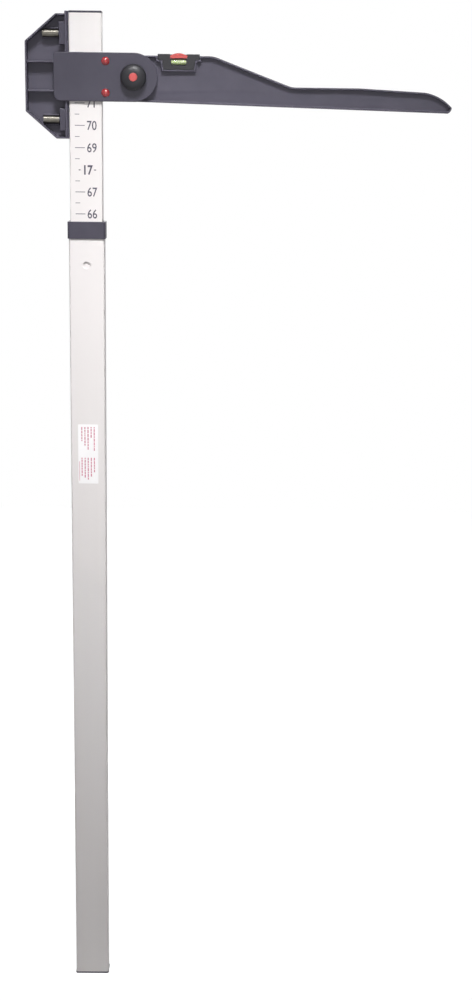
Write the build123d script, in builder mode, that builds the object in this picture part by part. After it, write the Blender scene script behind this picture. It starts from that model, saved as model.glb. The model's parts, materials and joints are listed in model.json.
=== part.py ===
from build123d import *
from math import atan, cos, degrees, radians, sin
import os

# Horse measuring stick: a two-stage aluminium staff with a sliding plastic head
# that carries a folding measuring arm with a spirit level.
# Origin: centre of the foot's underside. +Z runs up the staff, +X towards the arm's
# tip, and the printed front faces -Y. All sizes are in millimetres.

os.makedirs("parts", exist_ok=True)

# Clearances
run_gap = 0.05
fit_gap = 0.05
slide_gap = 0.4
move_gap = 0.3

# Staff tubes
inner_width = 38.0
inner_depth = 19.0
inner_wall = 1.4
inner_corner = 1.5
inner_above_collar = 236.6
outer_wall = 1.5
outer_corner = 2.2
outer_length = 968.4

# Foot plug
foot_flange = 2.0
foot_overhang = 0.6
foot_body = 18.0
plug_wall = 2.5

# Collar on the outer tube
collar_height = 20.0
collar_wall = 1.5
collar_lip = 2.0
collar_corner = 3.5
collar_edge = 0.6

# Plugs of the inner tube
glide_flange = 2.0
glide_body = 16.0
cap_flange = 2.4
cap_body = 12.0

# Snap button that locks the staff at its working height
working_travel = 695.0
snap_below_top = 49.1
snap_hole_diameter = 9.0
button_diameter = 7.8
button_flange_diameter = 10.8
button_flange = 1.0
leaf_width = 8.0
leaf_thickness = 0.5
leaf_length = 34.0

# Label on the outer tube
label_width = 24.2
label_height = 73.2
label_corner = 1.0
label_thickness = 0.15
label_centre_z = 693.6

# Sliding head
head_above_collar = 165.4
cover_thickness = 3.2
cover_half_height = 27.5
cover_left = -36.5
lower_corner = 8.0
upper_corner = 2.0
cover_edge = 0.9
pivot_x = 55.8
bolt_boss_diameter = 16.0

# Guide plate at the left of the head
plate_left = -69.5
plate_half_height = 70.2
plate_left_half_height = 39.5
plate_corner_x = -34.0
plate_rim = 2.2
plate_web = 2.4
plate_web_front = 3.0
rib_thickness = 2.0
rib_spacing = 32.6
rib_drop = 2.2
guide_wall = 4.2
guide_wall_rise = 3.1
guide_step_width = 1.6
guide_step_depth = 3.0
saddle_width = 12.6
saddle_height = 48.0

# Friction shoes and their spring barrels
shoe_offset_z = 48.6
shoe_height = 26.0
shoe_depth = 11.0
shoe_width = 6.0
shoe_corner = 1.2
shoe_travel = 0.8
tongue_height = 18.0
tongue_depth = 7.0
barrel_y = -3.0
barrel_diameter = 9.4
barrel_bore = 6.8
barrel_length = 18.4
barrel_end = 2.0
stem_run_gap = 0.1
stem_length = 8.0
spring_diameter = 5.6
spring_wire = 0.7
spring_turns = 5
cradle_wall = 1.6
cradle_length = 18.0

# Rivets on the right of the staff
rivet_x = 23.4
rivet_spacing = 35.6
rivet_diameter = 3.0
rivet_head_diameter = 9.6
rivet_head_height = 2.6
rivet_tail_diameter = 6.0
rivet_tail_height = 1.2

# Screws that hold the rear cover
screw_x = -28.5
screw_spacing = 35.6
screw_diameter = 3.0
screw_head_diameter = 5.6
screw_head_height = 1.8
screw_length = 16.0
screw_slot_length = 4.0
screw_slot_width = 0.8
screw_slot_depth = 0.9

# Pivot of the arm
bush_diameter = 10.0
bolt_diameter = 6.0
bolt_head_width = 10.0
bolt_head_height = 3.6
bolt_engagement = 9.0
friction_washer_diameter = 32.0
friction_washer = 0.8

# Clamp knob
knob_diameter = 29.8
knob_skirt = 4.5
knob_height = 11.8
knob_shoulder_radius = 12.0
knob_shoulder_height = 8.9
knob_top_lean = 0.12
knob_washer = 0.8
knob_washer_diameter = 18.0
insert_diameter = 9.0
insert_length = 8.0
cap_diameter = 9.8
cap_thickness = 1.6
cap_proud = 0.5

# Measuring arm, drawn about the pivot: u runs along it and v is up
arm_top = 24.8
root_radius = 27.3
shoulder_u = 92.0
shoulder_radius = 30.0
slope_end_u = 183.0
beam_top = -9.0
slope_radius = 30.0
beam_end_u = 262.0
beam_radius = 200.0
nose_start_u = 337.6
nose_start_v = -12.9
nose_mid_u = 355.3
nose_mid_v = -18.7
tip_u = 369.7
tip_v = -29.8
heel_u = 365.3
heel_v = -36.3
heel_bulge = 0.8
arm_front = -8.0
arm_depth = 13.0
arm_rim = 2.2
arm_web = 2.4
arm_web_front = -3.5

# Stop lug of the arm and its groove in the rear cover
stop_radius = 21.0
stop_angle = 225.0
stop_lug_diameter = 5.0
groove_depth = 1.8
fold_angle = 88.5

# Spirit level in the top edge of the arm
level_centre_u = 51.8
wing_length = 48.4
wing_height = 6.6
level_top = 26.7
level_bottom = 9.3
level_body_top = 38.1
level_body_bottom = 35.3
level_proud = 0.4
level_pocket_wall = 2.0
window_length = 17.1
window_bottom = 14.0
window_top = 22.1
vial_diameter = 7.6
vial_bore = 5.8
vial_length = 24.0
vial_depth = 5.0
vial_plug = 2.0
bubble_length = 7.0
bubble_diameter = 3.6
bubble_corner = 1.4
level_cover_length = 19.7
level_cover_top = 27.8
level_cover_ends = 24.6
level_back_wall = 2.2

# Sizes that follow from the ones above
outer_width = inner_width + 2 * (slide_gap + outer_wall)
outer_depth = inner_depth + 2 * (slide_gap + outer_wall)
outer_bottom = foot_flange
outer_top = outer_bottom + outer_length
collar_top = outer_top + collar_lip
head_centre_z = collar_top + head_above_collar
inner_bottom = foot_flange + foot_body + move_gap + glide_flange
inner_top = collar_top + inner_above_collar
inner_length = inner_top - inner_bottom
staff_top = inner_top + cap_flange
snap_hole_z = outer_top - snap_below_top
button_z = snap_hole_z - working_travel
cover_inner_y = inner_depth / 2 + slide_gap
cover_outer_y = cover_inner_y + cover_thickness
full_depth = 2 * cover_inner_y
guide_right = -(inner_width / 2 + slide_gap)
guide_left = guide_right - guide_wall
shoe_right = guide_left - slide_gap
shoe_left = shoe_right - shoe_width
barrel_right = shoe_left - shoe_travel - move_gap
barrel_left = barrel_right - barrel_length
hub_half = cover_inner_y - friction_washer - move_gap
knob_base_y = -(cover_outer_y + knob_washer)
underside_fall = degrees(atan((-heel_v - root_radius) / heel_u))
shoe_heights = {
    "upper": head_centre_z + shoe_offset_z,
    "lower": head_centre_z - shoe_offset_z,
}
pivot = (pivot_x, head_centre_z)
rivet_places = [(rivet_x, head_centre_z + side * rivet_spacing / 2) for side in (1, -1)]
screw_places = [(screw_x, head_centre_z + side * screw_spacing / 2) for side in (1, -1)]


def facing(y):
    """Plane at depth y that faces the front, with local x along +X and local y up."""
    return Plane(origin=(0, y, 0), x_dir=(1, 0, 0), z_dir=(0, -1, 0))


def arm_plane(y):
    """Plane at depth y that faces the front, with its origin at the pivot."""
    return Plane(origin=(pivot_x, y, head_centre_z), x_dir=(1, 0, 0), z_dir=(0, -1, 0))


def keep(part, name):
    """Name a finished piece and write it to its own file."""
    part.label = name
    export_step(part, f"parts/{name}.step")


# Staff, outer stage
with BuildPart() as outer_tube:
    with BuildSketch(Plane.XY.offset(outer_bottom)):
        RectangleRounded(outer_width, outer_depth, outer_corner)
        RectangleRounded(
            outer_width - 2 * outer_wall,
            outer_depth - 2 * outer_wall,
            outer_corner - outer_wall,
            mode=Mode.SUBTRACT,
        )
    extrude(amount=outer_length)
    with BuildSketch(facing(0)):
        with Locations((0, snap_hole_z)):
            Circle(snap_hole_diameter / 2)
    extrude(amount=outer_depth, mode=Mode.SUBTRACT)
keep(outer_tube.part, "outer_tube")

with BuildPart() as foot_plug:
    with BuildSketch():
        RectangleRounded(
            outer_width + 2 * foot_overhang,
            outer_depth + 2 * foot_overhang,
            outer_corner + foot_overhang,
        )
    extrude(amount=foot_flange)
    plug_width = outer_width - 2 * outer_wall - 2 * fit_gap
    plug_depth = outer_depth - 2 * outer_wall - 2 * fit_gap
    with BuildSketch(Plane.XY.offset(foot_flange)):
        RectangleRounded(plug_width, plug_depth, outer_corner - outer_wall)
        Rectangle(plug_width - 2 * plug_wall, plug_depth - 2 * plug_wall, mode=Mode.SUBTRACT)
    extrude(amount=foot_body)
keep(foot_plug.part, "foot_plug")

collar_bottom = collar_top - collar_height
with BuildPart() as tube_collar:
    with BuildSketch(Plane.XY.offset(collar_bottom)):
        RectangleRounded(
            outer_width + 2 * (fit_gap + collar_wall),
            outer_depth + 2 * (fit_gap + collar_wall),
            collar_corner,
        )
    extrude(amount=collar_height)
    fillet(tube_collar.faces().sort_by(Axis.Z)[-1].edges(), radius=collar_edge)
    with BuildSketch(Plane.XY.offset(collar_bottom)):
        RectangleRounded(
            outer_width + 2 * fit_gap, outer_depth + 2 * fit_gap, outer_corner + fit_gap
        )
    extrude(amount=collar_height - collar_lip, mode=Mode.SUBTRACT)
    with BuildSketch(Plane.XY.offset(collar_bottom)):
        RectangleRounded(
            inner_width + 2 * slide_gap, inner_depth + 2 * slide_gap, inner_corner + slide_gap
        )
    extrude(amount=collar_height, mode=Mode.SUBTRACT)
keep(tube_collar.part, "tube_collar")

with BuildPart() as info_label:
    with BuildSketch(facing(-outer_depth / 2)):
        with Locations((0, label_centre_z)):
            RectangleRounded(label_width, label_height, label_corner)
    extrude(amount=label_thickness)
keep(info_label.part, "info_label")

# Staff, inner stage
with BuildPart() as inner_tube:
    with BuildSketch(Plane.XY.offset(inner_bottom)):
        RectangleRounded(inner_width, inner_depth, inner_corner)
        Rectangle(inner_width - 2 * inner_wall, inner_depth - 2 * inner_wall, mode=Mode.SUBTRACT)
    extrude(amount=inner_length)
    with BuildSketch(facing(0)):
        with Locations((0, button_z)):
            Circle(button_diameter / 2 + move_gap)
    extrude(amount=inner_depth, mode=Mode.SUBTRACT)
keep(inner_tube.part, "inner_tube")


def tube_plug(outer_face_z, flange, growth, body, side):
    """Plug of the inner tube: a flange at its outer face and a hollow body towards side."""
    width = inner_width - 2 * inner_wall - 2 * fit_gap
    depth = inner_depth - 2 * inner_wall - 2 * fit_gap
    with BuildPart() as plug:
        with BuildSketch(Plane.XY.offset(outer_face_z)):
            RectangleRounded(inner_width + 2 * growth, inner_depth + 2 * growth, inner_corner)
        extrude(amount=side * flange)
        with BuildSketch(Plane.XY.offset(outer_face_z + side * flange)):
            Rectangle(width, depth)
            Rectangle(width - 2 * plug_wall, depth - 2 * plug_wall, mode=Mode.SUBTRACT)
        extrude(amount=side * body)
    return plug.part


glide_growth = slide_gap - move_gap
glide_face_z = inner_bottom - glide_flange
keep(tube_plug(glide_face_z, glide_flange, glide_growth, glide_body, 1), "inner_glide")
keep(tube_plug(staff_top, cap_flange, 0, cap_body, -1), "top_cap")

# Snap button: at rest its face waits just behind the outer tube's wall
button_face_y = -(inner_depth / 2 + slide_gap - move_gap)
wall_back_y = -(inner_depth / 2 - inner_wall)
button_back_y = wall_back_y + move_gap + button_flange
with BuildPart() as snap_button:
    with BuildSketch(facing(button_back_y)):
        with Locations((0, button_z)):
            Circle(button_flange_diameter / 2)
    extrude(amount=button_flange)
    with BuildSketch(facing(button_back_y)):
        with Locations((0, button_z)):
            Circle(button_diameter / 2)
    extrude(amount=button_back_y - button_face_y)
keep(snap_button.part, "snap_button")

# Leaf spring: a strip bent into a U, from the button's back to the tube's rear wall
leaf_top_z = button_z + button_flange_diameter / 2
leaf_bend_z = button_z - leaf_length
leaf_gap = -wall_back_y - button_back_y
with BuildPart() as snap_leaf:
    with BuildSketch(Plane.YZ.offset(-leaf_width / 2)):
        with Locations(((button_back_y - wall_back_y) / 2, leaf_bend_z)):
            Circle(leaf_gap / 2)
            Circle(leaf_gap / 2 - leaf_thickness, mode=Mode.SUBTRACT)
            Rectangle(leaf_gap, leaf_gap, align=(Align.CENTER, Align.MIN), mode=Mode.SUBTRACT)
        for edge_y, side in ((button_back_y, Align.MIN), (-wall_back_y, Align.MAX)):
            with Locations((edge_y, leaf_bend_z)):
                Rectangle(leaf_thickness, leaf_top_z - leaf_bend_z, align=(side, Align.MIN))
    extrude(amount=leaf_width)
keep(snap_leaf.part, "snap_leaf")


# Covers of the head
def cover_outline():
    """Outline of a cover: straight edges, rounded left corners and a round right end."""
    with BuildSketch() as outline:
        with Locations(((cover_left + pivot_x) / 2, head_centre_z)):
            Rectangle(pivot_x - cover_left, 2 * cover_half_height)
        fillet(outline.vertices().group_by(Axis.X)[0].sort_by(Axis.Y)[0], radius=lower_corner)
        fillet(outline.vertices().group_by(Axis.X)[0].sort_by(Axis.Y)[-1], radius=upper_corner)
        with Locations(pivot):
            Circle(cover_half_height)
    return outline.sketch


with BuildPart() as front_cover:
    with BuildSketch(facing(-cover_inner_y)):
        add(cover_outline())
    extrude(amount=cover_thickness)
    fillet(front_cover.faces().sort_by(Axis.Y)[0].edges(), radius=cover_edge)
    with BuildSketch(facing(-cover_inner_y)):
        with Locations(*rivet_places):
            Circle(rivet_diameter / 2 + fit_gap)
        with Locations(pivot):
            Circle(bolt_diameter / 2 + slide_gap)
    extrude(amount=cover_thickness, mode=Mode.SUBTRACT)
keep(front_cover.part, "front_cover")

groove_width = stop_lug_diameter + 2 * move_gap
groove_centre = Edge.make_circle(
    stop_radius, start_angle=stop_angle - fold_angle, end_angle=stop_angle
)
with BuildPart() as rear_cover:
    with BuildSketch(facing(cover_outer_y)):
        add(cover_outline())
    extrude(amount=cover_thickness)
    fillet(rear_cover.faces().sort_by(Axis.Y)[-1].edges(), radius=cover_edge)
    with BuildSketch(facing(cover_outer_y + bolt_head_height)):
        with Locations(pivot):
            Circle(bolt_boss_diameter / 2)
            RegularPolygon(
                bolt_head_width / 2 + move_gap, 6, major_radius=False, mode=Mode.SUBTRACT
            )
    extrude(amount=bolt_head_height)
    with BuildSketch(facing(cover_outer_y)):
        with Locations(*rivet_places):
            Circle(rivet_diameter / 2 + fit_gap)
        with Locations(*screw_places):
            Circle(screw_diameter / 2 + fit_gap)
        with Locations(pivot):
            Circle(bush_diameter / 2 + fit_gap)
    extrude(amount=cover_thickness, mode=Mode.SUBTRACT)
    with BuildSketch(arm_plane(cover_inner_y + groove_depth)):
        SlotArc(groove_centre, groove_width)
    extrude(amount=groove_depth, mode=Mode.SUBTRACT)
keep(rear_cover.part, "rear_cover")

# Guide plate
plate_top = head_centre_z + plate_half_height
plate_bottom = head_centre_z - plate_half_height
guide_top = plate_top + guide_wall_rise
saddle_left = guide_left - saddle_width


def plate_outline():
    """Outline of the guide plate: three sides of an octagon, with its right rim in the wall."""
    plate_right = guide_left + plate_rim
    with BuildSketch() as outline:
        Polygon(
            (plate_left, head_centre_z - plate_left_half_height),
            (plate_left, head_centre_z + plate_left_half_height),
            (plate_corner_x, plate_top),
            (plate_right, plate_top),
            (plate_right, plate_bottom),
            (plate_corner_x, plate_bottom),
            align=None,
        )
    return outline.sketch


with BuildPart() as guide_plate:
    with BuildSketch(facing(cover_inner_y)):
        add(plate_outline())
        offset(amount=-plate_rim, mode=Mode.SUBTRACT)
    extrude(amount=full_depth)
    with BuildSketch(facing(plate_web_front + plate_web)):
        add(plate_outline())
    extrude(amount=plate_web)
    with BuildSketch(facing(cover_inner_y)):
        with Locations((guide_right, plate_bottom)):
            Rectangle(guide_wall, guide_top - plate_bottom, align=(Align.MAX, Align.MIN))
        with Locations((guide_left, head_centre_z)):
            Rectangle(saddle_width, saddle_height, align=(Align.MAX, Align.CENTER))
    extrude(amount=full_depth)
    with BuildSketch(facing(plate_web_front)):
        for side in (1, -1):
            with Locations((plate_left, head_centre_z + side * rib_spacing / 2)):
                Rectangle(
                    saddle_left - plate_left, rib_thickness, align=(Align.MIN, Align.CENTER)
                )
    extrude(amount=cover_inner_y + plate_web_front - rib_drop)
    with BuildSketch(facing(-cover_inner_y + guide_step_depth)):
        for low, high in (
            (plate_bottom, head_centre_z - cover_half_height),
            (head_centre_z + cover_half_height, guide_top),
        ):
            with Locations((guide_right, low)):
                Rectangle(guide_step_width, high - low, align=(Align.MAX, Align.MIN))
    extrude(amount=guide_step_depth, mode=Mode.SUBTRACT)
    with BuildSketch(facing(plate_web_front)):
        for z in shoe_heights.values():
            with Locations((barrel_left, z)):
                Rectangle(
                    cradle_length, barrel_diameter + 2 * cradle_wall, align=(Align.MIN, Align.CENTER)
                )
    extrude(amount=plate_web_front - barrel_y)
    for z in shoe_heights.values():
        with BuildSketch(Plane.YZ.offset(barrel_left)):
            with Locations((barrel_y, z)):
                Circle(barrel_diameter / 2 + fit_gap)
        extrude(amount=cradle_length, mode=Mode.SUBTRACT)
        with BuildSketch(Plane.YZ.offset(guide_left)):
            with Locations((barrel_y, z)):
                Rectangle(tongue_depth + 2 * slide_gap, tongue_height + 2 * slide_gap)
        extrude(amount=guide_wall, mode=Mode.SUBTRACT)
    with BuildSketch(facing(cover_inner_y)):
        with Locations(*screw_places):
            Circle(screw_diameter / 2 + fit_gap)
    extrude(amount=screw_length - cover_thickness, mode=Mode.SUBTRACT)
keep(guide_plate.part, "guide_plate")

# Friction shoes, their barrels and springs
stem_end = shoe_left - stem_length
spring_start = barrel_left + barrel_end


def friction_shoe(z):
    """Sprung block: its stem runs in the barrel and its tongue bears on the staff's edge."""
    with BuildPart() as shoe:
        with BuildSketch(Plane.YZ.offset(shoe_left)):
            with Locations((barrel_y, z)):
                RectangleRounded(shoe_depth, shoe_height, shoe_corner)
        extrude(amount=shoe_width)
        with BuildSketch(Plane.YZ.offset(shoe_right)):
            with Locations((barrel_y, z)):
                Rectangle(tongue_depth, tongue_height)
        extrude(amount=-inner_width / 2 - move_gap - shoe_right)
        with BuildSketch(Plane.YZ.offset(stem_end)):
            with Locations((barrel_y, z)):
                Circle(barrel_bore / 2 - stem_run_gap)
        extrude(amount=stem_length)
    return shoe.part


def spring_barrel(z):
    """Closed-end sleeve that holds the coil spring and guides the shoe's stem."""
    with BuildPart() as barrel:
        with BuildSketch(Plane.YZ.offset(barrel_left)):
            with Locations((barrel_y, z)):
                Circle(barrel_diameter / 2)
        extrude(amount=barrel_length)
        with BuildSketch(Plane.YZ.offset(spring_start)):
            with Locations((barrel_y, z)):
                Circle(barrel_bore / 2)
        extrude(amount=barrel_length - barrel_end, mode=Mode.SUBTRACT)
    return barrel.part


spring_height = stem_end - spring_start - spring_wire
spring_pitch = spring_height / spring_turns


def shoe_spring(z):
    """Coil spring between the barrel's closed end and the shoe's stem."""
    with BuildPart() as spring:
        with BuildLine():
            path = Helix(
                pitch=spring_pitch,
                height=spring_height,
                radius=(spring_diameter - spring_wire) / 2,
                center=(spring_start + spring_wire / 2, barrel_y, z),
                direction=(1, 0, 0),
            )
        with BuildSketch(path ^ 0):
            Circle(spring_wire / 2)
        sweep()
    return spring.part


for place, z in shoe_heights.items():
    keep(friction_shoe(z), f"friction_shoe_{place}")
    keep(spring_barrel(z), f"spring_barrel_{place}")
    keep(shoe_spring(z), f"shoe_spring_{place}")
print(f"least gap between the turns of a shoe spring: {spring_pitch - spring_wire:.2f} mm")

# Rivets and sleeves on the right of the staff
sleeve_radius = rivet_x - inner_width / 2 - slide_gap
with BuildPart() as guide_sleeves:
    with BuildSketch(facing(cover_inner_y)):
        with Locations(*rivet_places):
            Circle(sleeve_radius)
            Circle(rivet_diameter / 2 + fit_gap, mode=Mode.SUBTRACT)
    extrude(amount=full_depth)
keep(guide_sleeves.part, "guide_sleeves")

with BuildPart() as guide_rivets:
    with BuildSketch(facing(cover_outer_y)):
        with Locations(*rivet_places):
            Circle(rivet_diameter / 2)
    extrude(amount=2 * cover_outer_y)
    with BuildSketch(facing(cover_outer_y + rivet_tail_height)):
        with Locations(*rivet_places):
            Circle(rivet_tail_diameter / 2)
    extrude(amount=rivet_tail_height)
    for x, z in rivet_places:
        with BuildSketch(Plane(origin=(x, -cover_outer_y, z))):
            with BuildLine():
                Line((0, 0), (rivet_head_diameter / 2, 0))
                TangentArc(
                    (0, -rivet_head_height), (rivet_head_diameter / 2, 0), tangent=(1, 0)
                )
                Line((0, -rivet_head_height), (0, 0))
            make_face()
        revolve(axis=Axis((x, 0, z), (0, 1, 0)))
keep(guide_rivets.part, "guide_rivets")

with BuildPart() as cover_screws:
    with BuildSketch(facing(cover_outer_y + screw_head_height)):
        with Locations(*screw_places):
            Circle(screw_head_diameter / 2)
    extrude(amount=screw_head_height)
    with BuildSketch(facing(cover_outer_y)):
        with Locations(*screw_places):
            Circle(screw_diameter / 2)
    extrude(amount=screw_length)
    with BuildSketch(facing(cover_outer_y + screw_head_height)):
        with Locations(*screw_places):
            Rectangle(screw_slot_length, screw_slot_width)
            Rectangle(screw_slot_width, screw_slot_length)
    extrude(amount=screw_slot_depth, mode=Mode.SUBTRACT)
keep(cover_screws.part, "cover_screws")


# Pivot of the arm
def ring(back_y, outer, bore, thickness):
    """Flat ring about the pivot that grows to the front from depth back_y."""
    with BuildPart() as washer:
        with BuildSketch(facing(back_y)):
            with Locations(pivot):
                Circle(outer / 2)
                Circle(bore / 2, mode=Mode.SUBTRACT)
        extrude(amount=thickness)
    return washer.part


bolt_bore = bolt_diameter + 2 * run_gap
washer_bore = bush_diameter + 2 * fit_gap
bush_length = cover_outer_y + cover_inner_y
front_washer_y = -cover_inner_y + friction_washer
knob_washer_bore = bolt_diameter + 2 * slide_gap
keep(ring(cover_outer_y, bush_diameter, bolt_bore, bush_length), "pivot_bush")
keep(ring(cover_inner_y, friction_washer_diameter, washer_bore, friction_washer), "rear_washer")
keep(ring(front_washer_y, friction_washer_diameter, washer_bore, friction_washer), "front_washer")
keep(ring(-cover_outer_y, knob_washer_diameter, knob_washer_bore, knob_washer), "knob_washer")

with BuildPart() as pivot_bolt:
    with BuildSketch(facing(cover_outer_y + bolt_head_height)):
        with Locations(pivot):
            RegularPolygon(bolt_head_width / 2, 6, major_radius=False)
    extrude(amount=bolt_head_height)
    with BuildSketch(facing(cover_outer_y)):
        with Locations(pivot):
            Circle(bolt_diameter / 2)
    extrude(amount=cover_outer_y - knob_base_y + bolt_engagement)
keep(pivot_bolt.part, "pivot_bolt")

# Clamp knob with its threaded insert and red cap
cap_floor_y = knob_base_y - knob_height - cap_proud + cap_thickness
with BuildPart() as clamp_knob:
    with BuildSketch(Plane(origin=(pivot_x, knob_base_y, head_centre_z))):
        with BuildLine():
            Line((0, 0), (knob_diameter / 2, 0))
            Line((knob_diameter / 2, 0), (knob_diameter / 2, -knob_skirt))
            Spline(
                (knob_diameter / 2, -knob_skirt),
                (knob_shoulder_radius, -knob_shoulder_height),
                (cap_diameter / 2, -knob_height),
                tangents=[(0, -1), (-1, -knob_top_lean)],
            )
            Line((cap_diameter / 2, -knob_height), (0, -knob_height))
            Line((0, -knob_height), (0, 0))
        make_face()
    revolve(axis=Axis((pivot_x, 0, head_centre_z), (0, 1, 0)))
    with BuildSketch(facing(knob_base_y)):
        with Locations(pivot):
            Circle(insert_diameter / 2 + fit_gap)
    extrude(amount=bolt_engagement + slide_gap, mode=Mode.SUBTRACT)
    with BuildSketch(facing(cap_floor_y)):
        with Locations(pivot):
            Circle(cap_diameter / 2 - fit_gap)
    extrude(amount=cap_thickness, mode=Mode.SUBTRACT)
keep(clamp_knob.part, "clamp_knob")
keep(ring(knob_base_y, insert_diameter, bolt_bore, insert_length), "knob_insert")

with BuildPart() as knob_cap:
    with BuildSketch(facing(cap_floor_y)):
        with Locations(pivot):
            Circle(cap_diameter / 2 - 2 * fit_gap)
    extrude(amount=cap_thickness)
    fillet(knob_cap.faces().sort_by(Axis.Y)[0].edges(), radius=cap_proud)
keep(knob_cap.part, "knob_cap")

# Measuring arm. Its underside is tangent to the round root and falls towards the heel.
tangent_u = -root_radius * sin(radians(underside_fall))
tangent_v = -root_radius * cos(radians(underside_fall))


def arm_outline():
    """Outline of the arm: round root, flat top, sloping shoulder, slim beam, curved nose."""
    with BuildSketch() as outline:
        with BuildLine():
            Line((tangent_u, tangent_v), (heel_u, heel_v))
            ThreePointArc(
                (heel_u, heel_v),
                ((heel_u + tip_u) / 2 + heel_bulge, (heel_v + tip_v) / 2 - heel_bulge),
                (tip_u, tip_v),
            )
            ThreePointArc(
                (tip_u, tip_v), (nose_mid_u, nose_mid_v), (nose_start_u, nose_start_v)
            )
            FilletPolyline(
                (nose_start_u, nose_start_v),
                (beam_end_u, beam_top),
                (slope_end_u, beam_top),
                (shoulder_u, arm_top),
                (0, arm_top),
                radius=[beam_radius, slope_radius, shoulder_radius],
            )
            Line((0, arm_top), (tangent_u, tangent_v))
        make_face()
        Circle(root_radius)
    return outline.sketch


def level_outline(grow):
    """Outline of the level's housing: wings on the arm's edge above a tapering body."""
    wing = wing_length / 2 + grow
    body_top = level_body_top / 2 + grow
    body_bottom = level_body_bottom / 2 + grow
    wing_bottom = level_top - wing_height - grow
    with BuildSketch() as outline:
        with Locations((level_centre_u, 0)):
            Polygon(
                (-wing, level_top),
                (-wing, wing_bottom),
                (-body_top, wing_bottom),
                (-body_bottom, level_bottom - grow),
                (body_bottom, level_bottom - grow),
                (body_top, wing_bottom),
                (wing, wing_bottom),
                (wing, level_top),
                align=None,
            )
    return outline.sketch


arm_back = arm_front + arm_depth
stop_place = (
    stop_radius * cos(radians(stop_angle)),
    stop_radius * sin(radians(stop_angle)),
)
lug_end_y = cover_inner_y + groove_depth - 2 * move_gap
with BuildPart() as arm:
    with BuildSketch(arm_plane(arm_back)):
        add(arm_outline())
        offset(amount=-arm_rim, mode=Mode.SUBTRACT)
    extrude(amount=arm_depth)
    with BuildSketch(arm_plane(arm_web_front + arm_web)):
        add(arm_outline())
    extrude(amount=arm_web)
    with BuildSketch(arm_plane(arm_back)):
        add(level_outline(level_pocket_wall))
        add(arm_outline(), mode=Mode.INTERSECT)
    extrude(amount=arm_depth)
    with BuildSketch(arm_plane(arm_back)):
        add(level_outline(fit_gap))
    extrude(amount=arm_depth, mode=Mode.SUBTRACT)
    with BuildSketch(arm_plane(hub_half)):
        Circle(root_radius - arm_rim / 2)
    extrude(amount=2 * hub_half)
    with BuildSketch(arm_plane(lug_end_y)):
        with Locations(stop_place):
            Circle(stop_lug_diameter / 2)
    extrude(amount=lug_end_y)
    with BuildSketch(arm_plane(hub_half)):
        Circle(bush_diameter / 2 + run_gap)
    extrude(amount=2 * hub_half, mode=Mode.SUBTRACT)
keep(arm.part, "arm")

# Spirit level
level_front = arm_front - level_proud
level_depth = arm_back - level_front
vial_y = level_front + vial_depth
vial_v = (window_bottom + window_top) / 2


def vial_plane(start, up=0):
    """Plane across the vial's axis at distance start from the vial's left end."""
    return Plane(
        origin=(
            pivot_x + level_centre_u - vial_length / 2 + start,
            vial_y,
            head_centre_z + vial_v + up,
        ),
        x_dir=(0, 1, 0),
        z_dir=(1, 0, 0),
    )


with BuildPart() as level_housing:
    with BuildSketch(arm_plane(arm_back)):
        add(level_outline(0))
        with Locations((level_centre_u, window_top)):
            Rectangle(
                level_cover_length + 2 * fit_gap,
                level_top,
                align=(Align.CENTER, Align.MIN),
                mode=Mode.SUBTRACT,
            )
    extrude(amount=level_depth)
    with BuildSketch(arm_plane(arm_back)):
        with Locations((level_centre_u, window_top)):
            Rectangle(
                level_cover_length + 2 * fit_gap,
                level_top - window_top,
                align=(Align.CENTER, Align.MIN),
            )
    extrude(amount=level_back_wall)
    with BuildSketch(arm_plane(vial_y)):
        with Locations((level_centre_u, vial_v)):
            Rectangle(window_length, window_top - window_bottom)
    extrude(amount=vial_depth, mode=Mode.SUBTRACT)
    with BuildSketch(vial_plane(0)):
        Circle(vial_diameter / 2 + fit_gap)
    extrude(amount=vial_length, mode=Mode.SUBTRACT)
keep(level_housing.part, "level_housing")

cover_back_y = arm_back - level_back_wall
with BuildPart() as level_cover:
    with BuildSketch(arm_plane(cover_back_y)):
        with BuildLine():
            left = level_centre_u - level_cover_length / 2
            right = level_centre_u + level_cover_length / 2
            Polyline(
                (left, level_cover_ends),
                (left, window_top),
                (right, window_top),
                (right, level_cover_ends),
            )
            ThreePointArc(
                (right, level_cover_ends),
                (level_centre_u, level_cover_top),
                (left, level_cover_ends),
            )
        make_face()
    extrude(amount=cover_back_y - level_front)
keep(level_cover.part, "level_cover")

with BuildPart() as level_vial:
    with BuildSketch(vial_plane(0)):
        Circle(vial_diameter / 2)
        Circle(vial_bore / 2, mode=Mode.SUBTRACT)
    extrude(amount=vial_length)
keep(level_vial.part, "level_vial")

fluid_radius = vial_bore / 2 - fit_gap
with BuildPart() as vial_plugs:
    with BuildSketch(vial_plane(0), vial_plane(vial_length - vial_plug)):
        Circle(fluid_radius)
    extrude(amount=vial_plug)
keep(vial_plugs.part, "vial_plugs")

bubble_start = (vial_length - bubble_length) / 2
bubble_up = fluid_radius - bubble_diameter / 2 - 2 * fit_gap
with BuildPart() as level_bubble:
    with BuildSketch(vial_plane(bubble_start, bubble_up)):
        Circle(bubble_diameter / 2)
    extrude(amount=bubble_length)
    fillet(level_bubble.edges().filter_by(GeomType.CIRCLE), radius=bubble_corner)
keep(level_bubble.part, "level_bubble")

with BuildPart() as vial_fluid:
    with BuildSketch(vial_plane(vial_plug)):
        Circle(fluid_radius)
    extrude(amount=vial_length - 2 * vial_plug)
    add(level_bubble.part, mode=Mode.SUBTRACT)
keep(vial_fluid.part, "vial_fluid")
print(f"the arm's underside falls {underside_fall:.2f} degrees towards the heel")
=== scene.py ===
import json
import math

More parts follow.
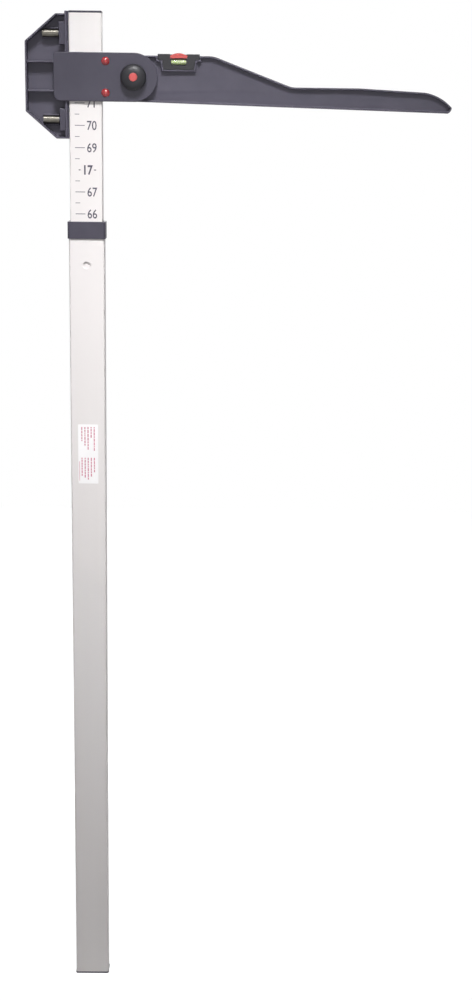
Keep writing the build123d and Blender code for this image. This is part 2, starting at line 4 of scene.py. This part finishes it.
import bmesh
import bpy
import numpy as np
from mathutils import Matrix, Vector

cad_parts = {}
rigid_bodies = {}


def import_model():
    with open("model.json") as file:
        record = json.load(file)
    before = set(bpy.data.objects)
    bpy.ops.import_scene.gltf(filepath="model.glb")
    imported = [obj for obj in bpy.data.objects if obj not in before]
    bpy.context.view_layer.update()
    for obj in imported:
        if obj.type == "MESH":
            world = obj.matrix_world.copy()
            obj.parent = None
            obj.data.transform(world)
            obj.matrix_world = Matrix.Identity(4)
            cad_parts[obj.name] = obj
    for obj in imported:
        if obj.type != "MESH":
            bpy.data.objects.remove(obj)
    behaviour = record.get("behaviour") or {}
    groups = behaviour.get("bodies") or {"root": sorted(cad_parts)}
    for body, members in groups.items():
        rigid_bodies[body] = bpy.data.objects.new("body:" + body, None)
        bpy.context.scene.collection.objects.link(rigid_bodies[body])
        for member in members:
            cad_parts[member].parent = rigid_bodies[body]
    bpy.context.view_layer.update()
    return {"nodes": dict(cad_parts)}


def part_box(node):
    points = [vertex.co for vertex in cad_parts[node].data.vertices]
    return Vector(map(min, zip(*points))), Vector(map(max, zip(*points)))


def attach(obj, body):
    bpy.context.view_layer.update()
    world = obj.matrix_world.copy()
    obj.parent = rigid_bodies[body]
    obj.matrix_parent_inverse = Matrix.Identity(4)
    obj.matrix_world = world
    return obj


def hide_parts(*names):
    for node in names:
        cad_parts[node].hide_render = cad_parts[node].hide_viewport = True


# Horse measuring stick, dressed on its CAD frame. Metres; +Z up the staff, front faces -Y.
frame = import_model()
nodes = frame["nodes"]
MM = 0.001


# Staff: two square-cornered tubes, extruded in aluminium and stove enamelled in satin white.
# Extrusion leaves faint lines along their length; one tube slides inside the other.
def linear(code):
    """sRGB hex code as linear RGBA: each channel c is ((c + 0.055) / 1.055) ** 2.4, or c / 12.92."""
    channel = np.array([int(code[i:i + 2], 16) for i in (0, 2, 4)]) / 255
    bent = ((channel + 0.055) / 1.055) ** 2.4
    return (*np.where(channel <= 0.04045, channel / 12.92, bent).tolist(), 1.0)


def add(tree, kind, values=None, links=None, **settings):
    """One node: settings are its properties, values its own inputs and links its linked ones."""
    node = tree.nodes.new(kind)
    for key, value in settings.items():
        setattr(node, key, value)
    for key, value in (values or {}).items():
        node.inputs[key].default_value = value
    for key, socket in (links or {}).items():
        tree.links.new(socket, node.inputs[key])
    return node


def surface(name, colours, drift_mm, grain_mm, rough, bump_mm, stretch=(1, 1, 1), **sockets):
    """Material whose colour drifts between two values over drift_mm, and whose roughness and
    bump follow a grain of grain_mm; stretch scales both patterns along X, Y and Z."""
    material = bpy.data.materials.new(name)
    material.use_nodes = True
    tree = material.node_tree
    tree.nodes.clear()
    shader = add(tree, "ShaderNodeBsdfPrincipled", values=sockets)
    add(tree, "ShaderNodeOutputMaterial", links={"Surface": shader.outputs["BSDF"]})
    place = add(tree, "ShaderNodeTexCoord").outputs["Object"]
    noises = []
    for size_mm in (drift_mm, grain_mm):
        scaled = add(tree, "ShaderNodeMapping", links={"Vector": place},
                     values={"Scale": [s / (size_mm * MM) for s in stretch]})
        noises.append(add(tree, "ShaderNodeTexNoise", links={"Vector": scaled.outputs[0]},
                          values={"Scale": 1.0, "Detail": 3.0, "Roughness": 0.55}).outputs[0])
    drift = add(tree, "ShaderNodeMapRange", links={"Value": noises[0]},
                values={"From Min": 0.3, "From Max": 0.7})
    colour = add(tree, "ShaderNodeMix", data_type="RGBA", links={0: drift.outputs[0]},
                 values={6: linear(colours[0]), 7: linear(colours[1])})
    tree.links.new(colour.outputs[2], shader.inputs["Base Color"])
    shine = add(tree, "ShaderNodeMapRange", links={"Value": noises[1]},
                values={"From Min": 0.3, "From Max": 0.7, "To Min": rough[0], "To Max": rough[1]})
    tree.links.new(shine.outputs[0], shader.inputs["Roughness"])
    bump = add(tree, "ShaderNodeBump", links={"Height": noises[1]},
               values={"Strength": 1.0, "Distance": bump_mm * MM})
    tree.links.new(bump.outputs["Normal"], shader.inputs["Normal"])
    return material


def dress(material, *names):
    """Gives CAD nodes that keep their shape their material."""
    for name in names:
        nodes[name].data.materials.clear()
        nodes[name].data.materials.append(material)


tube_enamel = surface(
    "satin_enamel_on_aluminium", ("dcd7d7", "e2dedd"), 60, 0.8, (0.38, 0.5), 0.006,
    stretch=(1, 1, 0.02), **{"IOR": 1.5}
)
dress(tube_enamel, "outer_tube", "inner_tube")


# Scale on the inner tube: inches and, every fourth inch, the height in hands.
# Silk-screened in grey ink, so it lies a few hundredths of a millimetre proud of the enamel.
def flat_mesh(name, points, faces, material, body):
    """Mesh from an array of points and a list of faces; rides on a body as its own piece."""
    mesh = bpy.data.meshes.new(name)
    mesh.from_pydata(np.asarray(points, float).tolist(), [], faces)
    mesh.materials.append(material)
    piece = bpy.data.objects.new(name, mesh)
    bpy.context.scene.collection.objects.link(piece)
    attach(piece, body)
    return piece


def digits(text, weight):
    """Outline font digits as points (x, z) and faces, both digits in one array."""
    curve = bpy.data.curves.new("digits", "FONT")
    curve.body = text
    curve.offset = weight
    curve.resolution_u = 3
    drawn = bpy.data.objects.new("digits", curve)
    mesh = bpy.data.meshes.new_from_object(drawn)
    flat = np.empty(len(mesh.vertices) * 3)
    mesh.vertices.foreach_get("co", flat)
    faces = [list(face.vertices) for face in mesh.polygons]
    for data, block in ((bpy.data.objects, drawn), (bpy.data.curves, curve), (bpy.data.meshes, mesh)):
        data.remove(block)
    return flat.reshape(-1, 3)[:, :2], faces


class Print:
    """Gathers flat shapes of one print, given in mm on the plane of a face."""

    def __init__(self, y):
        self.y, self.points, self.faces = y, [], []

    def shape(self, flat, faces):
        """Adds points (x, z) in mm with their faces."""
        start = len(self.points)
        self.points += [(x * MM, self.y, z * MM) for x, z in np.asarray(flat, float).tolist()]
        self.faces += [[start + i for i in face] for face in faces]

    def bar(self, x0, x1, z0, z1):
        """Adds a rectangle whose normal points to the front."""
        self.shape([(x0, z0), (x1, z0), (x1, z1), (x0, z1)], [[0, 1, 2, 3]])


tube_low, tube_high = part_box("inner_tube")
scale = Print(tube_low.y - 0.03 * MM)
inch, reading_offset = 25.4, 695.0
tick_left, tick_right, half_left, half_right = -12.75, -1.25, -12.75, -7.35
number_left, number_width, number_height = 1.45, 11.0, 10.4
sample, _ = digits("66", 0.0)
font_scale = np.array([number_width, number_height]) / np.ptp(sample, axis=0)
font_low = sample.min(axis=0)
for inches in range(30, 73):
    middle = inches * inch - reading_offset
    hands = inches % 4 == 0
    if middle + number_height / 2 < tube_high.z / MM - 3:
        flat, faces = digits(str(inches // 4 if hands else inches), 0.03 if hands else 0.01)
        centre = sample.min(axis=0)[1] + np.ptp(sample, axis=0)[1] / 2
        flat = (flat - (font_low[0], centre)) * font_scale
        left = number_left - 5.4 if hands else number_left
        scale.shape(flat + (left, middle), faces)
        if hands:
            for x in (left - 3.6, left + number_width + 3.4):
                scale.shape([(x - 1.7, middle), (x, middle - 0.8), (x + 1.7, middle), (x, middle + 0.8)],
                            [[0, 1, 2, 3]])
        else:
            scale.bar(tick_left, tick_right, middle - 0.4, middle + 0.4)
    if middle + inch / 2 < tube_high.z / MM - 2:
        scale.bar(half_left, half_right, middle + inch / 2 - 0.35, middle + inch / 2 + 0.35)
scale_ink = surface(
    "screen_ink", ("403c4a", "524e5c"), 6, 0.3, (0.5, 0.65), 0.002, **{"IOR": 1.48}
)
flat_mesh("scale_print", scale.points, scale.faces, scale_ink, "inner_staff")


# Label on the outer tube: a white vinyl sticker with a conversion table in red.
# The table's small print is drawn as word-long dashes, in two blocks of five upright lines.
label_vinyl = surface(
    "printed_vinyl", ("f5f3f4", "f9f7f8"), 20, 0.5, (0.3, 0.4), 0.004, **{"IOR": 1.5}
)
dress(label_vinyl, "info_label")
label_low, label_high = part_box("info_label")
table = Print(label_low.y - 0.02 * MM)
words = np.random.default_rng(5)
line_pitch, line_width, word_gap = 3.75, 1.35, 0.75
for top, lengths in ((727.0, (17, 22, 28, 13, 30)), (689.0, (23, 23, 26, 21, 18))):
    for line, length in enumerate(lengths):
        x = -7.6 + line * line_pitch
        z = top
        while z > top - length:
            word = words.uniform(1.6, 4.2)
            table.bar(x - line_width / 2, x + line_width / 2, z - word, z)
            z -= word + word_gap
table.bar(-10.9, -10.4, 660.5, 684.5)
label_ink = surface(
    "red_print", ("b7657b", "cf8398"), 3, 0.3, (0.5, 0.6), 0.002, **{"IOR": 1.48}
)
flat_mesh("label_print", table.points, table.faces, label_ink, "staff")


# Black fittings: injection-moulded ABS, fine spark texture, with a small round on every edge.
# Each is the CAD solid with its facets joined and its edges rounded as a mould leaves them.
def moulding(node, body, material, edge_mm, clamped=False):
    """Copy of a CAD node, doubles merged and flat areas joined, with bevelled edges."""
    mesh = bpy.data.meshes.new(f"{node}_moulded")
    work = bmesh.new()
    work.from_mesh(nodes[node].data)
    bmesh.ops.remove_doubles(work, verts=work.verts, dist=2e-6)
    bmesh.ops.dissolve_limit(work, angle_limit=math.radians(0.6), verts=work.verts,
                             edges=work.edges)
    work.to_mesh(mesh)
    work.free()
    mesh.polygons.foreach_set("use_smooth", np.ones(len(mesh.polygons), bool))
    mesh.set_sharp_from_angle(angle=math.radians(30))
    mesh.materials.append(material)
    piece = bpy.data.objects.new(f"{node}_moulded", mesh)
    bpy.context.scene.collection.objects.link(piece)
    edge = piece.modifiers.new("edge", "BEVEL")
    edge.width = edge_mm * MM
    edge.segments = 2
    edge.limit_method = "ANGLE"
    edge.angle_limit = math.radians(40)
    edge.use_clamp_overlap = clamped
    edge.harden_normals = True
    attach(piece, body)
    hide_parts(node)
    return piece


black_abs = surface(
    "black_abs", ("35323f", "3b3845"), 35, 0.5, (0.42, 0.55), 0.012,
    **{"IOR": 1.53, "Specular IOR Level": 0.35}
)
# The guide plate and arm use a lighter copy of the black ABS. The lighter colour is painted light that
# offsets the shade in their deep recessed webs; the rougher, bumpier spark texture is real.
sparked_abs_painted_lighter = surface(
    "spark_textured_black_abs_painted_light", ("45424f", "4d4a57"), 35, 0.5, (0.5, 0.62), 0.015,
    **{"IOR": 1.53, "Specular IOR Level": 0.35}
)
moulding("guide_plate", "head", sparked_abs_painted_lighter, 0.6)
moulding("arm", "arm", sparked_abs_painted_lighter, 0.6, clamped=True)
moulding("tube_collar", "staff", black_abs, 0.25)
moulding("foot_plug", "staff", black_abs, 0.4)
moulding("top_cap", "inner_staff", black_abs, 0.4)
polished_abs = surface(
    "polished_black_abs", ("141318", "1b1a20"), 20, 0.6, (0.42, 0.5), 0.006,
    **{"IOR": 1.53, "Specular IOR Level": 0.35}
)
moulding("level_housing", "arm", polished_abs, 0.15)
dress(black_abs, "front_cover", "rear_cover", "inner_glide", "snap_button",
      "friction_shoe_upper", "friction_shoe_lower")


# Small metal parts: steel screws, bolt, barrels and springs, and brass bush and insert.
# Turned or drawn, so fine lines run round them; most are hidden inside the head.
steel = surface(
    "plated_steel", ("9a9894", "b4b1ac"), 8, 0.25, (0.25, 0.4), 0.003, **{"Metallic": 1.0}
)
dress(steel, "cover_screws", "pivot_bolt", "knob_washer", "guide_sleeves", "snap_leaf",
      "shoe_spring_upper", "shoe_spring_lower")
barrel_steel = surface(
    "blackened_steel", ("57544f", "6b6861"), 8, 0.25, (0.25, 0.35), 0.003, **{"Metallic": 1.0}
)
dress(barrel_steel, "spring_barrel_upper", "spring_barrel_lower")
brass = surface("turned_brass", ("b8985a", "c9aa68"), 8, 0.25, (0.25, 0.4), 0.003,
                **{"Metallic": 1.0})
dress(brass, "pivot_bush", "knob_insert")
nylon = surface("natural_nylon", ("d9d6cc", "e2dfd6"), 10, 0.4, (0.4, 0.5), 0.004,
                **{"IOR": 1.53})
dress(nylon, "front_washer", "rear_washer", "vial_plugs")


# Red parts: rivet heads in gloss enamel, and the knob's cap and the level's cover in red ABS.
# The gloss gives each domed head a small bright highlight.
rivet_enamel = surface(
    "red_gloss_enamel", ("8f0f18", "a0151f"), 4, 0.6, (0.08, 0.16), 0.004,
    **{"IOR": 1.5, "Coat Weight": 0.4, "Coat Roughness": 0.05}
)
dress(rivet_enamel, "guide_rivets")
red_abs = surface("red_abs", ("b03433", "bc403d"), 6, 0.4, (0.3, 0.4), 0.006, **{"IOR": 1.53})
dress(red_abs, "knob_cap", "level_cover")


# Clamp knob: moulded in the same black ABS, a shallow dome with a skirt and a recess for its cap.
# It is turned about the pivot's axis, so its surface is one profile carried round that axis.
def lathe(name, profile, centre_x, centre_z, turns=96):
    """Closed surface: profile points (radius, y) in mm at angle a stand at
    (cx + r cos a, y, cz + r sin a); the first and last rings are closed by flat faces."""
    profile = np.asarray(profile, float) * MM
    angle = np.linspace(0, 2 * math.pi, turns, endpoint=False)
    ring = np.stack([np.cos(angle), np.zeros(turns), np.sin(angle)], axis=1)
    points = profile[:, 0, None, None] * ring + profile[:, 1, None, None] * (0, 1, 0)
    points = points.reshape(-1, 3) + (centre_x, 0, centre_z)
    row, column = np.meshgrid(np.arange(len(profile) - 1), np.arange(turns), indexing="ij")
    after = (column + 1) % turns
    quads = np.stack([row * turns + column, (row + 1) * turns + column,
                      (row + 1) * turns + after, row * turns + after], axis=-1).reshape(-1, 4)
    last = (len(profile) - 1) * turns
    faces = quads.tolist() + [list(range(turns)), list(range(last, last + turns))]
    mesh = bpy.data.meshes.new(name)
    mesh.from_pydata(points.tolist(), [], faces)
    work = bmesh.new()
    work.from_mesh(mesh)
    bmesh.ops.recalc_face_normals(work, faces=work.faces)
    work.to_mesh(mesh)
    work.free()
    mesh.polygons.foreach_set("use_smooth", np.ones(len(mesh.polygons), bool))
    mesh.set_sharp_from_angle(angle=math.radians(35))
    return mesh


knob_low, knob_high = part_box("clamp_knob")
knob_radius = (knob_high.x - knob_low.x) / 2 / MM
knob_base, knob_top = knob_high.y / MM, knob_low.y / MM
pivot_x, pivot_z = (knob_low.x + knob_high.x) / 2, (knob_low.z + knob_high.z) / 2
dome = np.linspace(0, 1, 24)
# The dome follows the CAD's curve: a cubic from the skirt's top to the recess's rim.
skirt_y, rim_radius = knob_base - 4.5, 4.9
controls = np.array([(knob_radius, skirt_y), (knob_radius, skirt_y - 5.4),
                     (rim_radius + 4.2, knob_top + 0.5), (rim_radius, knob_top)])
weights = np.stack([(1 - dome) ** 3, 3 * dome * (1 - dome) ** 2, 3 * dome ** 2 * (1 - dome),
                    dome ** 3], axis=1)
knob_profile = np.vstack([
    [(4.55, knob_base - 9.4), (4.55, knob_base), (knob_radius - 0.5, knob_base),
     (knob_radius - 0.15, knob_base - 0.15), (knob_radius, knob_base - 0.5)],
    weights @ controls,
    [(4.85, knob_top + 0.05), (4.85, knob_top + 1.1)],
])
knob_mesh = lathe("clamp_knob_moulded", knob_profile, pivot_x, pivot_z)
knob_mesh.materials.append(polished_abs)
knob = bpy.data.objects.new("clamp_knob_moulded", knob_mesh)
bpy.context.scene.collection.objects.link(knob)
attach(knob, "knob")
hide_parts("clamp_knob")


# Spirit level: an acrylic tube of yellow-green liquid with a bubble, behind the housing's window.
# The liquid is milky enough to glow against the black pocket behind it.
vial_acrylic = surface(
    "clear_acrylic", ("f4f8ea", "fafcf4"), 10, 1.0, (0.02, 0.05), 0.001,
    **{"IOR": 1.49, "Alpha": 0.2}
)
dress(vial_acrylic, "level_vial")
fluid_green = surface(
    "level_fluid", ("a8c832", "bcd84a"), 6, 1.0, (0.05, 0.1), 0.001,
    **{"IOR": 1.36, "Transmission Weight": 0.1}
)
dress(fluid_green, "vial_fluid")
bubble_film = surface(
    "level_bubble", ("dff0a0", "e8f4b4"), 3, 1.0, (0.02, 0.05), 0.001,
    **{"IOR": 1.2, "Transmission Weight": 0.5}
)
dress(bubble_film, "level_bubble")


# Studio: a pale floor that keeps a soft shadow, a white surround, and lamps in front and above.
# The floor and surround look white to the camera and in reflections; they light nothing extra.
def seen_directly(tree):
    """1 for camera, glossy and transmission rays, else 0."""
    path = add(tree, "ShaderNodeLightPath")
    total = path.outputs["Is Camera Ray"]
    for ray in ("Is Glossy Ray", "Is Transmission Ray"):
        total = add(tree, "ShaderNodeMath", operation="MAXIMUM",
                    links={0: total, 1: path.outputs[ray]}).outputs[0]
    return total


floor_reach = 2.6
floor_mesh = bpy.data.meshes.new("floor")
floor_mesh.from_pydata([(-floor_reach, -floor_reach, 0), (floor_reach, -floor_reach, 0),
                        (floor_reach, floor_reach, 0), (-floor_reach, floor_reach, 0)], [],
                       [(0, 1, 2, 3)])
floor_paint = bpy.data.materials.new("floor_paint")
floor_paint.use_nodes = True
tree = floor_paint.node_tree
tree.nodes.clear()
matt = add(tree, "ShaderNodeBsdfDiffuse", values={"Color": linear("dcdcdc")})
glow = add(tree, "ShaderNodeEmission", values={"Color": (1, 1, 1, 1)})
strength = add(tree, "ShaderNodeMath", operation="MULTIPLY", links={0: seen_directly(tree)},
               values={1: 0.8})
tree.links.new(strength.outputs[0], glow.inputs["Strength"])
both = add(tree, "ShaderNodeAddShader", links={0: matt.outputs[0], 1: glow.outputs[0]})
add(tree, "ShaderNodeOutputMaterial", links={"Surface": both.outputs[0]})
floor_mesh.materials.append(floor_paint)
floor = bpy.data.objects.new("floor", floor_mesh)
bpy.context.scene.collection.objects.link(floor)

world = bpy.data.worlds.new("surround")
bpy.context.scene.world = world
world.use_nodes = True
tree = world.node_tree
tree.nodes.clear()
ambient = 0.12
level = add(tree, "ShaderNodeMapRange", links={"Value": seen_directly(tree)},
            values={"To Min": ambient, "To Max": 1.0})
sky = add(tree, "ShaderNodeBackground", values={"Color": (1, 1, 1, 1)},
          links={"Strength": level.outputs[0]})
add(tree, "ShaderNodeOutputWorld", links={"Surface": sky.outputs[0]})


def lamp(name, place, target, size, power, spread=180):
    """Square area lamp that faces its target; a small spread narrows its beam, in degrees."""
    light = bpy.data.lights.new(name, "AREA")
    light.size = size
    light.energy = power
    light.spread = math.radians(spread)
    stand = bpy.data.objects.new(name, light)
    bpy.context.scene.collection.objects.link(stand)
    back = (np.array(place) - np.array(target)) / np.linalg.norm(np.array(place) - target)
    side = np.cross((0, 0, 1), back)
    side /= np.linalg.norm(side)
    up = np.cross(back, side)
    stand.matrix_world = Matrix([[side[i], up[i], back[i], place[i]] for i in range(3)]
                                + [[0, 0, 0, 1]])


lamp("key_lamp", (0.2, -1.3, 2.6), (0.1, 0, 0.9), 0.5, 2.2, 28)
lamp("fill_lamp", (0.3, -2.6, 0.9), (0.05, 0, 0.5), 1.0, 13)
lamp("rear_lamp", (0.1, 2.6, 1.8), (0.1, 0, 0.7), 1.2, 16)

# Camera: it stands about two metres in front, a little right of the staff, and looks 13 degrees down.
focal_px, image_long_px = 1658, 1000
yaw, pitch, roll = math.radians(0.73), math.radians(13.16), math.radians(0.73)
ahead = np.array([math.sin(yaw) * math.cos(pitch), math.cos(yaw) * math.cos(pitch),
                  -math.sin(pitch)])
level_right = np.array([math.cos(yaw), -math.sin(yaw), 0])
level_up = np.cross(level_right, ahead)
right = level_right * math.cos(roll) + level_up * math.sin(roll)
up = -level_right * math.sin(roll) + level_up * math.cos(roll)
view = bpy.data.cameras.new("camera")
view.sensor_width = 36
view.lens = view.sensor_width * focal_px / image_long_px
camera = bpy.data.objects.new("camera", view)
bpy.context.scene.collection.objects.link(camera)
stands = (0.155, -1.987, 1.100)
camera.matrix_world = Matrix([[right[i], up[i], -ahead[i], stands[i]] for i in range(3)]
                             + [[0, 0, 0, 1]])
bpy.context.scene.camera = camera
bpy.context.scene.view_settings.view_transform = "Standard"
